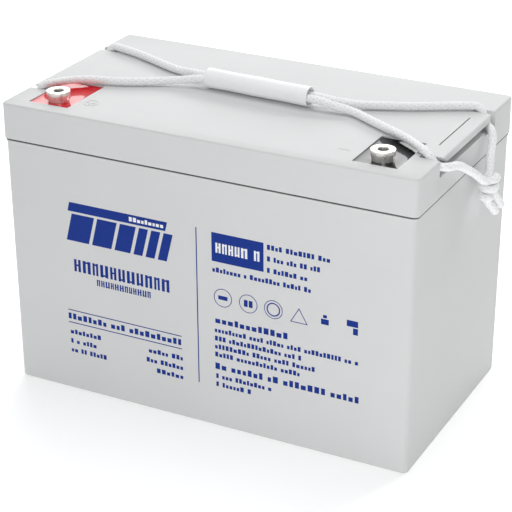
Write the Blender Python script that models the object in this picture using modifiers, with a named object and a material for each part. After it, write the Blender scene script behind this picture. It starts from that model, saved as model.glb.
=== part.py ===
"""Deep cycle battery: a sealed 12 V gel battery in a moulded case, with a rope carrying handle.

Metres, +Z up. +X runs along the case, the label face looks along -Y, and the origin is the
centre of the case's foot.
"""

import math

import bmesh
import bpy
import numpy as np
from mathutils import Matrix, Vector

GAP = 0.0003                  # left between pieces that touch

# Case
CASE_LENGTH = 0.306           # lid, along X
CASE_WIDTH = 0.169            # lid, along Y
CASE_HEIGHT = 0.211           # foot to lid top
LID_HEIGHT = 0.0255
LID_OVERHANG = 0.001          # lid proud of the container on each side
FOOT_DRAFT = 0.0007           # container narrower at the foot on each side
WALL = 0.0035                 # container wall
FLOOR = 0.004
LID_TOP = 0.004               # lid's top plate
CORNER_RADIUS = 0.004         # upright edges
EDGE_RADIUS = 0.0012          # edges of the top and of the foot
JOINT_TONGUE = 0.0014         # rib under the lid that the container's groove takes
JOINT_DEPTH = 0.0016

# Cells
CELL_COUNT = 6
PARTITION = 0.002
PARTITION_DROP = 0.0042       # partition top below the container's rim
POSITIVE_THICKNESS = 0.003
NEGATIVE_THICKNESS = 0.0018
SEPARATOR_THICKNESS = 0.0007
PACK_MARGIN = 0.0007          # least space between the outer plates and their cell's walls
PLATE_FOOT = 0.004            # plates above the case's floor
PLATE_TOP = 0.158
PLATE_MARGIN = 0.0038         # plate edge to the cell's front or back wall
SEPARATOR_MARGIN = 0.0024
SEPARATOR_RISE = 0.0025       # separator past the plates, top and bottom
STRAP_FOOT = 0.1635
STRAP_THICKNESS = 0.007
STRAP_WIDTH = 0.014
LUG_WIDTH = 0.011
HORN_THICKNESS = 0.004        # upright lug that is welded through a partition
HORN_RISE = 0.006
WELD_RADIUS = 0.0037

# Inner cover and valves
COVER_THICKNESS = 0.003
CHIMNEY_RADIUS = 0.0075
CHIMNEY_BORE = 0.0045
CHIMNEY_RISE = 0.012
VALVE_SETBACK = 0.020         # valves behind the middle
VALVE_WALL = 0.0015
VALVE_TOP = 0.002
VALVE_SKIRT = 0.0095

# Terminals
POSITIVE_INSET = 0.031        # terminal to the lid's left end
NEGATIVE_INSET = 0.0345       # terminal to the lid's right end
TERMINAL_INSET = 0.0245       # terminals to the lid's front edge
TERMINAL_RISE = 0.006         # terminal top above the lid
TERMINAL_TOP_RADIUS = 0.0082
TERMINAL_RADIUS = 0.0072
SHANK_RADIUS = 0.006
THREAD_RADIUS = 0.0034        # M8, minor diameter
THREAD_DEPTH = 0.018
TERMINAL_CHAMFER = 0.0006
SEAL_SECTION = 0.0015
WELL_LENGTH = 0.031           # resin filled recess, along X
WELL_WIDTH = 0.048
WELL_RIM = 0.0111             # recess to the lid's front edge
WELL_DEPTH = 0.012
WELL_WALL = 0.002
WELL_FLOOR = 0.0025
RESIN_DROP = 0.0009           # resin below the lid top

# Rope notches at both ends
TONGUE_WIDTH = 0.0858
TONGUE_THICKNESS = 0.0044
TONGUE_LAND = 0.0008          # upright edge left above the tongue's chamfers
NOTCH_WIDTH = 0.0064
NOTCH_LENGTH = 0.0145
POCKET_HEIGHT = 0.0047
POCKET_DEPTH = 0.0135
POCKET_EASE = 0.0006          # pocket past the notches on each side
POCKET_WALL = 0.0025
CHANNEL_DROP = 0.0021         # rope channels below the pocket's floor
CHANNEL_INNER = 0.031         # middle of the case to the channels
SLIT_LENGTH = 0.055           # in the right tongue only
SLIT_WIDTH = 0.001
SLIT_INSET = 0.011            # slit to the lid's right end
SLIT_SHIFT = 0.0032           # its middle behind the case's middle

# Rope handle
ROPE_DIAMETER = 0.0057
GRIP_LENGTH = 0.080
GRIP_WALL = 0.0007
GRIP_EASE = 0.00035           # round the two strands in the grip
GRIP_PLACE = (-0.0013, 0.0039)
GRIP_YAW = math.radians(-2.8)
KNOT_PLACE = (0.1613, 0.0205, 0.1702)
KNOT_HALF = (0.0078, 0.0078, 0.0096)
ROPE_SPLIT = 0.1505           # in the notches, where the moving end of the rope starts
SPLIT_GAP = 0.0014
KNOT_FACE = 0.0111            # knot centre to the rope and the tails that meet it
KNOT_STEPS = 16

# Size of the grip round its strands, and the heights of the grip and of a strand on the lid
GRIP_RADIUS = ROPE_DIAMETER + GAP / 2 + GRIP_EASE + GRIP_WALL
LID_LIE = CASE_HEIGHT + ROPE_DIAMETER / 2 + GAP
GRIP_LIE = CASE_HEIGHT + GRIP_RADIUS + GAP


def grip_point(along, side):
    """A point of the front (-1) or back (1) strand in the grip."""
    across = side * (ROPE_DIAMETER + GAP) / 2
    x = GRIP_PLACE[0] + along * math.cos(GRIP_YAW) - across * math.sin(GRIP_YAW)
    y = GRIP_PLACE[1] + along * math.sin(GRIP_YAW) + across * math.cos(GRIP_YAW)
    return (x, y, GRIP_LIE)


# Routes of the rope's strands, from the grip outwards
RIGHT_FRONT = [
    grip_point(0.028, -1), grip_point(0.040, -1), (0.0490, -0.0014, 0.2176),
    (0.0592, -0.0016, 0.2161), (0.0670, -0.0008, 0.2148), (0.0760, -0.0034, LID_LIE),
    (0.0861, -0.0093, LID_LIE), (0.0971, -0.0157, LID_LIE), (0.1069, -0.0213, LID_LIE),
    (0.1155, -0.0263, LID_LIE), (0.1241, -0.0318, LID_LIE), (0.1320, -0.0380, LID_LIE),
    (0.1383, -0.0431, LID_LIE), (0.1407, -0.0448, 0.2139), (0.1428, -0.0458, 0.2130),
    (0.1446, -0.0462, 0.2113), (0.1462, -0.0463, 0.2091), (0.1480, -0.0462, 0.2072),
    (0.1502, -0.0460, 0.2060), (0.1527, -0.0453, 0.2055), (0.1552, -0.0434, 0.2052),
    (0.1571, -0.0400, 0.2048), (0.1579, -0.0355, 0.2038), (0.1581, -0.0290, 0.2013),
    (0.1580, -0.0215, 0.1975), (0.1580, -0.0135, 0.1930), (0.1584, -0.0040, 0.1875),
    (0.1592, 0.0050, 0.1813), (0.1603, 0.0120, 0.1764), KNOT_PLACE,
]
RIGHT_BACK = [
    grip_point(0.028, 1), grip_point(0.040, 1), (0.0485, 0.0048, 0.2177),
    (0.0565, 0.0058, 0.2169), (0.0668, 0.0098, 0.2152), (0.0745, 0.0143, LID_LIE),
    (0.0840, 0.0184, LID_LIE), (0.0948, 0.0228, LID_LIE), (0.1053, 0.0276, LID_LIE),
    (0.1156, 0.0332, LID_LIE),
    (0.1254, 0.0388, LID_LIE), (0.1325, 0.0425, LID_LIE), (0.1385, 0.0451, LID_LIE),
    (0.1407, 0.0460, 0.2139), (0.1427, 0.0463, 0.2130), (0.1445, 0.0462, 0.2113),
    (0.1460, 0.0457, 0.2086), (0.1475, 0.0448, 0.2058), (0.1494, 0.0430, 0.2041),
    (0.1514, 0.0408, 0.2034), (0.1536, 0.0382, 0.2031), (0.1556, 0.0358, 0.2022),
    (0.1572, 0.0336, 0.2003), (0.1580, 0.0318, 0.1974), (0.1583, 0.0301, 0.1934),
    (0.1586, 0.0278, 0.1880), (0.1596, 0.0247, 0.1805), KNOT_PLACE,
]
LEFT_FRONT = [
    grip_point(-0.028, -1), grip_point(-0.040, -1), (-0.0490, 0.0014, 0.2174),
    (-0.0570, -0.0006, 0.2161), (-0.0682, -0.0040, 0.2147), (-0.0826, -0.0112, LID_LIE),
    (-0.0973, -0.0182, LID_LIE), (-0.1120, -0.0228, LID_LIE), (-0.1240, -0.0272, LID_LIE),
    (-0.1314, -0.0330, LID_LIE), (-0.1360, -0.0390, LID_LIE), (-0.1388, -0.0430, LID_LIE),
    (-0.1410, -0.0452, 0.2138), (-0.1430, -0.0462, 0.2128), (-0.1449, -0.0463, 0.2110),
]
LEFT_BACK = [
    grip_point(-0.028, 1), grip_point(-0.040, 1), (-0.0505, 0.0112, 0.2174),
    (-0.0606, 0.0164, 0.2156), (-0.0718, 0.0203, LID_LIE), (-0.0830, 0.0240, LID_LIE),
    (-0.0967, 0.0300, LID_LIE), (-0.1107, 0.0362, LID_LIE), (-0.1238, 0.0410, LID_LIE),
    (-0.1327, 0.0436, LID_LIE), (-0.1386, 0.0453, LID_LIE), (-0.1410, 0.0461, 0.2138),
    (-0.1430, 0.0463, 0.2128), (-0.1449, 0.0463, 0.2110),
]
# Half of the loop that hangs at the left end, up to the middle of the case
LEFT_BIGHT = [
    (-0.1466, 0.0462, 0.2086), (-0.1484, 0.0461, 0.2066), (-0.1506, 0.0457, 0.2052),
    (-0.1531, 0.0445, 0.2044), (-0.1557, 0.0420, 0.2036), (-0.1575, 0.0380, 0.2024),
    (-0.1584, 0.0325, 0.2006), (-0.1587, 0.0240, 0.1979), (-0.1587, 0.0120, 0.1953),
]
LEFT_LOOP = (
    LEFT_FRONT + [(x, -y, z) for x, y, z in LEFT_BIGHT] + [(-0.1587, 0, 0.1944)]
    + LEFT_BIGHT[::-1] + LEFT_BACK[::-1]
)
TAIL_FRONT = [KNOT_PLACE, (0.1618, 0.0180, 0.1600), (0.1637, 0.0206, 0.1555), (0.1653, 0.0246, 0.1506)]
TAIL_BACK = [KNOT_PLACE, (0.1641, 0.0250, 0.1614), (0.1656, 0.0280, 0.1572), (0.1668, 0.0312, 0.1530)]

# Worked out from the sizes above
SEAM = CASE_HEIGHT - LID_HEIGHT
CONTAINER_LENGTH = CASE_LENGTH - 2 * LID_OVERHANG
CONTAINER_WIDTH = CASE_WIDTH - 2 * LID_OVERHANG
RIM = SEAM - GAP
INSIDE_LENGTH = CONTAINER_LENGTH - 2 * WALL
INSIDE_WIDTH = CONTAINER_WIDTH - 2 * WALL
PARTITION_TOP = RIM - PARTITION_DROP
CELL_LENGTH = (INSIDE_LENGTH - (CELL_COUNT - 1) * PARTITION) / CELL_COUNT
CELL_PITCH = CELL_LENGTH + PARTITION
POSITIVE_X = POSITIVE_INSET - CASE_LENGTH / 2
NEGATIVE_X = CASE_LENGTH / 2 - NEGATIVE_INSET
TERMINAL_Y = TERMINAL_INSET - CASE_WIDTH / 2
TERMINAL_PLACES = ((POSITIVE_X, TERMINAL_Y), (NEGATIVE_X, TERMINAL_Y))
STRAP_SETBACK = -TERMINAL_Y   # straps in front of and behind the middle, in line with the terminals
COVER_FOOT = PARTITION_TOP + GAP
COVER_TOP = COVER_FOOT + COVER_THICKNESS
CHIMNEY_TOP = COVER_TOP + CHIMNEY_RISE
LID_CEILING = CASE_HEIGHT - LID_TOP
WELL_BASE = CASE_HEIGHT - WELL_DEPTH
WELL_UNDERSIDE = WELL_BASE - WELL_FLOOR
WELL_Y = -CASE_WIDTH / 2 + WELL_RIM + WELL_WIDTH / 2
BUSHING_TOP = WELL_UNDERSIDE - 2 * GAP - 2 * SEAL_SECTION
BUSHING_RADIUS = SHANK_RADIUS + GAP + 2 * SEAL_SECTION + 0.0012
SHANK_HOLE = SHANK_RADIUS + 2 * GAP
POST_TOP = BUSHING_TOP - 0.004
TONGUE_UNDERSIDE = CASE_HEIGHT - TONGUE_THICKNESS
POCKET_FLOOR = TONGUE_UNDERSIDE - POCKET_HEIGHT
CHANNEL_FLOOR = POCKET_FLOOR - CHANNEL_DROP
NOTCH_OUTER = TONGUE_WIDTH / 2 + NOTCH_WIDTH
POCKET_HALF = NOTCH_OUTER + POCKET_EASE
PLATE_PITCH = (POSITIVE_THICKNESS + NEGATIVE_THICKNESS) / 2 + SEPARATOR_THICKNESS + 2 * GAP
PACK_SPACE = CELL_LENGTH - 2 * PACK_MARGIN - NEGATIVE_THICKNESS
POSITIVE_PLATES = int(PACK_SPACE / (2 * PLATE_PITCH))  # in each cell; there is one more negative plate
ROUND_STEPS = 24
REACH = 0.01                  # how far a cutter runs past what it cuts


# Scene and materials

def clear_scene():
    for item in list(bpy.data.objects):
        bpy.data.objects.remove(item, do_unlink=True)


def collection(name):
    made = bpy.data.collections.new(name)
    bpy.context.scene.collection.children.link(made)
    return made


def finish(name, colour, roughness, metallic=0.0):
    """A Principled material, or the one of that name if it is there already."""
    if name in bpy.data.materials:
        return bpy.data.materials[name]
    made = bpy.data.materials.new(name)
    made.use_nodes = True
    shader = made.node_tree.nodes["Principled BSDF"]
    shader.inputs["Base Color"].default_value = (*colour, 1.0)
    shader.inputs["Roughness"].default_value = roughness
    shader.inputs["Metallic"].default_value = metallic
    return made


def case_plastic():
    return finish("case_plastic", (0.66, 0.67, 0.68), 0.5)


def cover_plastic():
    return finish("cover_plastic", (0.45, 0.46, 0.47), 0.55)


def grip_plastic():
    return finish("grip_plastic", (0.9, 0.9, 0.9), 0.4)


def rope_fibre():
    return finish("rope_fibre", (0.86, 0.86, 0.84), 0.85)


def red_resin():
    return finish("red_resin", (0.72, 0.02, 0.03), 0.1)


def black_resin():
    return finish("black_resin", (0.02, 0.02, 0.022), 0.1)


def plated_metal():
    return finish("plated_metal", (0.86, 0.84, 0.78), 0.25, 1.0)


def valve_rubber():
    return finish("valve_rubber", (0.03, 0.03, 0.03), 0.8)


def seal_rubber():
    return finish("seal_rubber", (0.05, 0.05, 0.055), 0.75)


def positive_paste():
    return finish("positive_paste", (0.16, 0.08, 0.05), 0.8)


def negative_paste():
    return finish("negative_paste", (0.28, 0.29, 0.30), 0.7, 0.3)


def separator_sheet():
    return finish("separator_sheet", (0.75, 0.74, 0.70), 0.85)


def weld_lead():
    return finish("weld_lead", (0.35, 0.36, 0.38), 0.45, 0.9)


# Shape tools

def mesh_from(bm, name):
    bmesh.ops.recalc_face_normals(bm, faces=bm.faces)
    mesh = bpy.data.meshes.new(name)
    bm.to_mesh(mesh)
    bm.free()
    return mesh


def add_piece(name, data, look, place=(0, 0, 0), parent=None):
    piece = bpy.data.objects.new(name, data)
    piece.location = place
    piece.parent = parent
    data.materials.append(look)
    PIECES.objects.link(piece)
    return piece


def add_cutter(name, mesh):
    cutter = bpy.data.objects.new(name, mesh)
    cutter.hide_render = True
    cutter.display_type = "WIRE"
    CUTTERS.objects.link(cutter)
    return cutter


def add_pivot(name, place):
    pivot = bpy.data.objects.new(name, None)
    pivot.empty_display_size = 0.02
    pivot.location = place
    PIECES.objects.link(pivot)
    return pivot


def combine(target, other, operation="DIFFERENCE"):
    modifier = target.modifiers.new(other.name, "BOOLEAN")
    modifier.operation = operation
    modifier.object = other


def add_box(bm, low, high):
    low, high = Vector(low), Vector(high)
    place = Matrix.Translation((low + high) / 2) @ Matrix.Diagonal((*(high - low), 1))
    bmesh.ops.create_cube(bm, size=1, matrix=place)


def add_rod(bm, centre, radius, low, high, axis="Z"):
    """A cylinder from low to high along an axis; centre gives its place across that axis."""
    turn = Matrix.Rotation(math.pi / 2, 4, "Y") if axis == "X" else Matrix.Identity(4)
    middle = (low + high) / 2
    place = (middle, *centre) if axis == "X" else (*centre, middle)
    bmesh.ops.create_cone(
        bm, cap_ends=True, segments=ROUND_STEPS, radius1=radius, radius2=radius,
        depth=high - low, matrix=Matrix.Translation(place) @ turn,
    )


def boxes_mesh(name, boxes):
    bm = bmesh.new()
    for low, high in boxes:
        add_box(bm, low, high)
    return mesh_from(bm, name)


def rods_mesh(name, centres, radius, low, high, axis="Z"):
    bm = bmesh.new()
    for centre in centres:
        add_rod(bm, centre, radius, low, high, axis)
    return mesh_from(bm, name)


def block_mesh(name, foot, top, low, high, corner=0.0, edge=0.0, edge_at=None):
    """An upright block with foot and top sizes (X, Y), round upright edges and a softened rim."""
    bm = bmesh.new()
    add_box(bm, (-0.5, -0.5, low), (0.5, 0.5, high))
    middle = (low + high) / 2
    for v in bm.verts:
        size = top if v.co.z > middle else foot
        v.co.x *= size[0]
        v.co.y *= size[1]
    if corner:
        upright = [e for e in bm.edges if abs(e.verts[0].co.z - e.verts[1].co.z) > (high - low) / 2]
        bmesh.ops.bevel(bm, geom=upright, offset=corner, segments=4, profile=0.5, affect="EDGES")
    if edge:
        rim = [e for e in bm.edges if all(abs(v.co.z - edge_at) < 1e-5 for v in e.verts)]
        bmesh.ops.bevel(bm, geom=rim, offset=edge, segments=2, profile=0.5, affect="EDGES")
    return mesh_from(bm, name)


def ring_cutter(name, outer, inner, low, high):
    """A rectangular frame of upright walls."""
    ring = add_cutter(name, block_mesh(name, outer, outer, low, high))
    hole_mesh = block_mesh(name + "_hole", inner, inner, low - REACH, high + REACH)
    combine(ring, add_cutter(name + "_hole", hole_mesh))
    return ring


def turned(name, profile, look, place=(0, 0, 0), parent=None, closed=False, steps=ROUND_STEPS):
    """A profile of (radius, height) turned about Z; its outer side runs from top to bottom."""
    count = len(profile)
    edges = [(i, (i + 1) % count) for i in range(count if closed else count - 1)]
    mesh = bpy.data.meshes.new(name)
    mesh.from_pydata([(r, 0, z) for r, z in profile], edges, [])
    piece = add_piece(name, mesh, look, place, parent)
    screw = piece.modifiers.new("turn", "SCREW")
    screw.steps = steps
    screw.render_steps = steps
    screw.use_merge_vertices = True
    screw.merge_threshold = 0.00001
    screw.use_smooth_shade = True
    return piece


def both_ways(side, near, far):
    """The X span from near to far, on the side of the middle that the sign gives."""
    return tuple(sorted((side * near, side * far)))


# Rope tools

def smooth_line(route, step=0.0005):
    """Points about a step apart on the natural cubic that runs through a route."""
    route = np.array(route, float)
    knots = np.concatenate([[0], np.cumsum(np.linalg.norm(np.diff(route, axis=0), axis=1))])
    gaps = np.diff(knots)
    slopes = np.diff(route, axis=0) / gaps[:, None]
    count = len(route)
    system = np.eye(count)
    target = np.zeros((count, 3))
    for i in range(1, count - 1):
        system[i, i - 1:i + 2] = gaps[i - 1], 2 * (gaps[i - 1] + gaps[i]), gaps[i]
        target[i] = 6 * (slopes[i] - slopes[i - 1])
    bends = np.linalg.solve(system, target)
    at = np.linspace(0, knots[-1], int(knots[-1] / step) + 1)
    i = np.clip(np.searchsorted(knots, at, side="right") - 1, 0, count - 2)
    late = ((at - knots[i]) / gaps[i])[:, None]
    early = 1 - late
    pull = (early ** 3 - early) * bends[i] + (late ** 3 - late) * bends[i + 1]
    return early * route[i] + late * route[i + 1] + pull * gaps[i][:, None] ** 2 / 6


def thinned(line, longest=0.014, sag=0.00012):
    """The line's own points, as far apart as its length allowed and its sag between them let."""
    kept = [0]
    for i in range(2, len(line)):
        run = line[kept[-1]:i + 1]
        chord = run[-1] - run[0]
        reach = np.linalg.norm(chord)
        off = np.linalg.norm(np.cross(run - run[0], chord / reach), axis=1).max()
        if off > sag or reach > longest:
            kept.append(i - 1)
    kept.append(len(line) - 1)
    return line[kept]


def rope_tube(name, line, parent=None):
    start = Vector(parent.location) if parent else Vector((0, 0, 0))
    line = line - np.array(start)
    curve = bpy.data.curves.new(name, "CURVE")
    curve.dimensions = "3D"
    curve.bevel_depth = ROPE_DIAMETER / 2
    curve.bevel_resolution = 2
    curve.use_fill_caps = True
    spline = curve.splines.new("POLY")
    spline.points.add(len(line) - 1)
    spline.points.foreach_set("co", np.column_stack([line, np.ones(len(line))]).ravel())
    return add_piece(name, curve, rope_fibre(), parent=parent)


# Case

def cell_middle(cell):
    return (cell - (CELL_COUNT - 1) / 2) * CELL_PITCH


def strap_side(cell, positive):
    """-1 for a strap at the front and 1 at the back: the sides alternate from cell to cell."""
    front_first = cell % 2 == 0
    return -1 if front_first == positive else 1


def make_container():
    foot = (CONTAINER_LENGTH - 2 * FOOT_DRAFT, CONTAINER_WIDTH - 2 * FOOT_DRAFT)
    top = (CONTAINER_LENGTH, CONTAINER_WIDTH)
    mesh = block_mesh("container", foot, top, 0, RIM, CORNER_RADIUS, EDGE_RADIUS, 0)
    container = add_piece("container", mesh, case_plastic())
    half = INSIDE_WIDTH / 2
    cells = []
    for cell in range(CELL_COUNT):
        middle = cell_middle(cell)
        low = (middle - CELL_LENGTH / 2, -half, FLOOR)
        cells.append((low, (middle + CELL_LENGTH / 2, half, RIM + REACH)))
    combine(container, add_cutter("cell_spaces", boxes_mesh("cell_spaces", cells)))
    seat = [((-INSIDE_LENGTH / 2, -half, PARTITION_TOP), (INSIDE_LENGTH / 2, half, RIM + 2 * REACH))]
    combine(container, add_cutter("cover_seat", boxes_mesh("cover_seat", seat)))
    holes = bmesh.new()
    for wall in range(CELL_COUNT - 1):
        middle = cell_middle(wall) + CELL_PITCH / 2
        across = (strap_side(wall, False) * STRAP_SETBACK, weld_height())
        add_rod(holes, across, WELD_RADIUS + GAP, middle - PARTITION * 2, middle + PARTITION * 2, "X")
    combine(container, add_cutter("weld_holes", mesh_from(holes, "weld_holes")))
    groove = joint_ring("rim_groove", JOINT_TONGUE + 2 * GAP, RIM - JOINT_DEPTH - GAP, RIM + REACH)
    combine(container, groove)


def joint_ring(name, thickness, low, high):
    """A frame that runs along the middle of the container's wall."""
    length = INSIDE_LENGTH + WALL
    width = INSIDE_WIDTH + WALL
    outer = (length + thickness, width + thickness)
    inner = (length - thickness, width - thickness)
    return ring_cutter(name, outer, inner, low, high)


def make_lid():
    size = (CASE_LENGTH, CASE_WIDTH)
    mesh = block_mesh("lid", size, size, SEAM, CASE_HEIGHT, CORNER_RADIUS, EDGE_RADIUS, CASE_HEIGHT)
    lid = add_piece("lid", mesh, case_plastic())
    inside = (INSIDE_LENGTH, INSIDE_WIDTH)
    hollow = add_cutter("lid_hollow", block_mesh("lid_hollow", inside, inside, SEAM - REACH, LID_CEILING))
    combine(hollow, add_cutter("pocket_walls", boxes_mesh("pocket_walls", pocket_boxes(walls=True))))
    combine(hollow, add_cutter("well_walls", boxes_mesh("well_walls", well_boxes(walls=True))))
    combine(lid, hollow)
    combine(lid, joint_ring("lid_tongue", JOINT_TONGUE, SEAM - JOINT_DEPTH, SEAM + 0.001), "UNION")
    combine(lid, add_cutter("pockets", boxes_mesh("pockets", pocket_boxes())))
    combine(lid, add_cutter("channels", boxes_mesh("channels", channel_boxes())))
    combine(lid, add_cutter("notches", boxes_mesh("notches", notch_boxes())))
    combine(lid, add_cutter("wells", boxes_mesh("wells", well_boxes())))
    combine(lid, add_cutter("slit", boxes_mesh("slit", [slit_box()])))
    low, high = WELL_UNDERSIDE - REACH / 2, WELL_BASE + REACH / 2
    holes = rods_mesh("shank_holes", TERMINAL_PLACES, SHANK_HOLE, low, high)
    combine(lid, add_cutter("shank_holes", holes))
    combine(lid, add_cutter("tongue_chamfers", chamfers_mesh("tongue_chamfers")))


def pocket_boxes(walls=False):
    """The space under each tongue, or the block that the lid keeps round it."""
    wall = POCKET_WALL if walls else 0
    inner = CASE_LENGTH / 2 - POCKET_DEPTH - wall
    half = POCKET_HALF + wall
    top = CASE_HEIGHT if walls else TONGUE_UNDERSIDE
    boxes = []
    for side in (-1, 1):
        low_x, high_x = both_ways(side, inner, CASE_LENGTH / 2 + REACH)
        low_z = CHANNEL_FLOOR - wall if walls else POCKET_FLOOR
        boxes.append(((low_x, -half, low_z), (high_x, half, top)))
    return boxes


def channel_boxes():
    """The deeper ends of the pockets, which the rope runs through."""
    boxes = []
    for side in (-1, 1):
        low_x, high_x = both_ways(side, CASE_LENGTH / 2 - POCKET_DEPTH, CASE_LENGTH / 2 + 3 * REACH)
        for across in (-1, 1):
            low_y, high_y = both_ways(across, CHANNEL_INNER, POCKET_HALF)
            boxes.append(((low_x, low_y, CHANNEL_FLOOR), (high_x, high_y, TONGUE_UNDERSIDE)))
    return boxes


def chamfers_mesh(name):
    """Slanted blocks that take the tongues' lower side edges off, so that the rope can turn there."""
    bm = bmesh.new()
    thick = TONGUE_THICKNESS * 1.4
    slant = (TONGUE_THICKNESS + REACH / 8) * math.sqrt(2)
    for side in (-1, 1):
        low_x, high_x = both_ways(side, CASE_LENGTH / 2 - POCKET_DEPTH, CASE_LENGTH / 2 + 4 * REACH)
        for across in (-1, 1):
            edge = Vector((0, across * TONGUE_WIDTH / 2, CASE_HEIGHT - TONGUE_LAND))
            down = Vector((0, -across, -1)).normalized()
            away = Vector((0, across, -1)).normalized()
            middle = edge + down * (slant / 2 - TONGUE_LAND) + away * thick / 2
            middle.x = (low_x + high_x) / 2
            turn = Matrix.Rotation(across * math.pi / 4, 4, "X")
            size = Matrix.Diagonal((high_x - low_x, thick, slant, 1))
            bmesh.ops.create_cube(bm, size=1, matrix=Matrix.Translation(middle) @ turn @ size)
    return mesh_from(bm, name)


def notch_boxes():
    boxes = []
    for side in (-1, 1):
        low_x, high_x = both_ways(side, CASE_LENGTH / 2 - NOTCH_LENGTH, CASE_LENGTH / 2 + 2 * REACH)
        for across in (-1, 1):
            low_y, high_y = both_ways(across, TONGUE_WIDTH / 2, NOTCH_OUTER)
            low = (low_x, low_y, POCKET_FLOOR + POCKET_HEIGHT / 2)
            boxes.append((low, (high_x, high_y, CASE_HEIGHT + REACH)))
    return boxes


def well_boxes(walls=False):
    """The recess round each terminal, or the block that the lid keeps round it."""
    wall = WELL_WALL if walls else 0
    front = -CASE_WIDTH / 2 if walls else WELL_Y - WELL_WIDTH / 2
    low_z = WELL_UNDERSIDE if walls else WELL_BASE
    boxes = []
    half = WELL_LENGTH / 2 + wall
    for x, _ in TERMINAL_PLACES:
        high = (x + half, WELL_Y + WELL_WIDTH / 2 + wall, CASE_HEIGHT + REACH)
        boxes.append(((x - half, front, low_z), high))
    return boxes


def slit_box():
    x, y = CASE_LENGTH / 2 - SLIT_INSET, SLIT_SHIFT
    low = (x - SLIT_WIDTH / 2, y - SLIT_LENGTH / 2, TONGUE_UNDERSIDE - POCKET_HEIGHT / 2)
    return (low, (x + SLIT_WIDTH / 2, y + SLIT_LENGTH / 2, CASE_HEIGHT + REACH))


def make_inner_cover():
    half_x = INSIDE_LENGTH / 2 - GAP
    half_y = INSIDE_WIDTH / 2 - GAP
    plate = [((-half_x, -half_y, COVER_FOOT), (half_x, half_y, COVER_TOP))]
    cover = add_piece("inner_cover", boxes_mesh("inner_cover", plate), cover_plastic())
    valves = [(cell_middle(cell), VALVE_SETBACK) for cell in range(CELL_COUNT)]
    sunk = (COVER_FOOT + COVER_TOP) / 2
    chimneys = rods_mesh("chimneys", valves, CHIMNEY_RADIUS, sunk, CHIMNEY_TOP)
    combine(cover, add_cutter("chimneys", chimneys), "UNION")
    bushings = rods_mesh("bushings", TERMINAL_PLACES, BUSHING_RADIUS, sunk, BUSHING_TOP)
    combine(cover, add_cutter("bushings", bushings), "UNION")
    bores = rods_mesh("chimney_bores", valves, CHIMNEY_BORE, COVER_FOOT - REACH, CHIMNEY_TOP + REACH)
    combine(cover, add_cutter("chimney_bores", bores))
    low, high = COVER_FOOT - REACH, BUSHING_TOP + REACH
    post_holes = rods_mesh("post_holes", TERMINAL_PLACES, SHANK_HOLE, low, high)
    combine(cover, add_cutter("post_holes", post_holes))


def make_valve_cap(cell):
    """A rubber cap over a chimney, which lifts to let gas out."""
    inner = CHIMNEY_RADIUS + GAP
    outer = inner + VALVE_WALL
    roof = CHIMNEY_TOP + GAP
    top = roof + VALVE_TOP
    foot = roof - VALVE_SKIRT
    rim = 0.0006
    profile = [
        (0, top - roof), (outer - rim, top - roof), (outer, top - roof - rim),
        (outer, foot - roof), (inner, foot - roof), (inner, 0), (0, 0),
    ]
    place = (cell_middle(cell), VALVE_SETBACK, roof)
    turned(f"valve_cap_{cell + 1}", profile, valve_rubber(), place)


# Terminals

def make_resin(name, x, look):
    """The coloured resin that fills a recess round its terminal."""
    half_x = WELL_LENGTH / 2 - GAP
    half_y = WELL_WIDTH / 2 - GAP
    low = (x - half_x, WELL_Y - half_y, WELL_BASE + GAP)
    high = (x + half_x, WELL_Y + half_y, CASE_HEIGHT - RESIN_DROP)
    resin = add_piece(name, boxes_mesh(name, [(low, high)]), look)
    hole_name = name + "_hole"
    radius = TERMINAL_RADIUS + GAP
    hole = rods_mesh(hole_name, [(x, TERMINAL_Y)], radius, WELL_BASE - REACH, CASE_HEIGHT + REACH)
    combine(resin, add_cutter(hole_name, hole))


def make_terminal(name, x):
    """A plated insert with a female thread, on a shank that goes down through the covers."""
    top = CASE_HEIGHT + TERMINAL_RISE
    shoulder = WELL_BASE + GAP
    chamfer = TERMINAL_CHAMFER
    profile = [
        (0, top - THREAD_DEPTH), (THREAD_RADIUS, top - THREAD_DEPTH), (THREAD_RADIUS, top - chamfer),
        (THREAD_RADIUS + chamfer, top), (TERMINAL_TOP_RADIUS - chamfer, top),
        (TERMINAL_TOP_RADIUS, top - chamfer), (TERMINAL_RADIUS, CASE_HEIGHT - RESIN_DROP),
        (TERMINAL_RADIUS, shoulder), (SHANK_RADIUS, shoulder), (SHANK_RADIUS, POST_TOP + GAP),
        (0, POST_TOP + GAP),
    ]
    local = [(r, z - shoulder) for r, z in profile]
    turned(name, local, plated_metal(), (x, TERMINAL_Y, shoulder))


def make_seal(name, x):
    """A rubber ring round the shank, between the bushing and the lid."""
    middle = SHANK_RADIUS + GAP + SEAL_SECTION
    angles = [2 * math.pi * i / 10 for i in range(10)]
    profile = [(middle + SEAL_SECTION * math.sin(a), SEAL_SECTION * math.cos(a)) for a in angles]
    height = BUSHING_TOP + GAP + SEAL_SECTION
    turned(name, profile, seal_rubber(), (x, TERMINAL_Y, height), closed=True)


# Cells

def weld_height():
    return STRAP_FOOT + STRAP_THICKNESS + HORN_RISE - WELD_RADIUS - 0.001


def plate_places(positive):
    """Plate centres along X from the middle of a cell."""
    count = POSITIVE_PLATES if positive else POSITIVE_PLATES + 1
    return [(i - (count - 1) / 2) * 2 * PLATE_PITCH for i in range(count)]


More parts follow.
